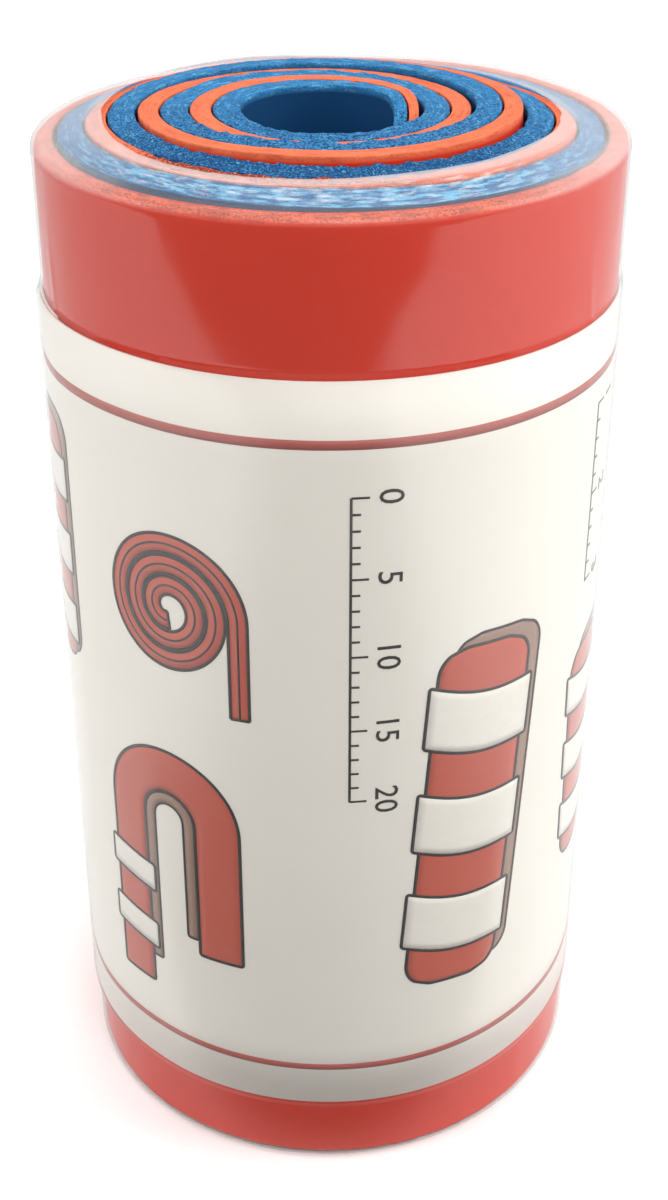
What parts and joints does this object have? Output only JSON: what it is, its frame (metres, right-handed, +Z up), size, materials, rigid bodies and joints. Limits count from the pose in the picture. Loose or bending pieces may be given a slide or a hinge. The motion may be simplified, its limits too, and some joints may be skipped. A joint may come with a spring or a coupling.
{
  "type": "aluminium foam splint",
  "caption": "Rolled splint of soft aluminium sheet between orange and blue foam, with a printed paper label round it under clear shrink film, standing on one end.",
  "frame": {"origin": "middle of the roll's foot, on the ground it stands on", "axes": "+Z up along the roll, +X to the right of the roll's front, which faces -Y"},
  "size_m": [0.0588, 0.0592, 0.1129],
  "materials": {
    "orange_foam": "closed-cell foam, matte",
    "aluminium_core": "soft rolled sheet",
    "blue_foam": "closed-cell foam, matte",
    "paper_label": "printed paper",
    "shrink_film": "clear shrink film, glossy"
  },
  "bodies": {
    "root": {"orange_foam": "orange_foam", "aluminium_core": "aluminium_core", "blue_foam": "blue_foam", "paper_label": "paper_label", "shrink_film": "shrink_film"}
  },
  "joints": []
}
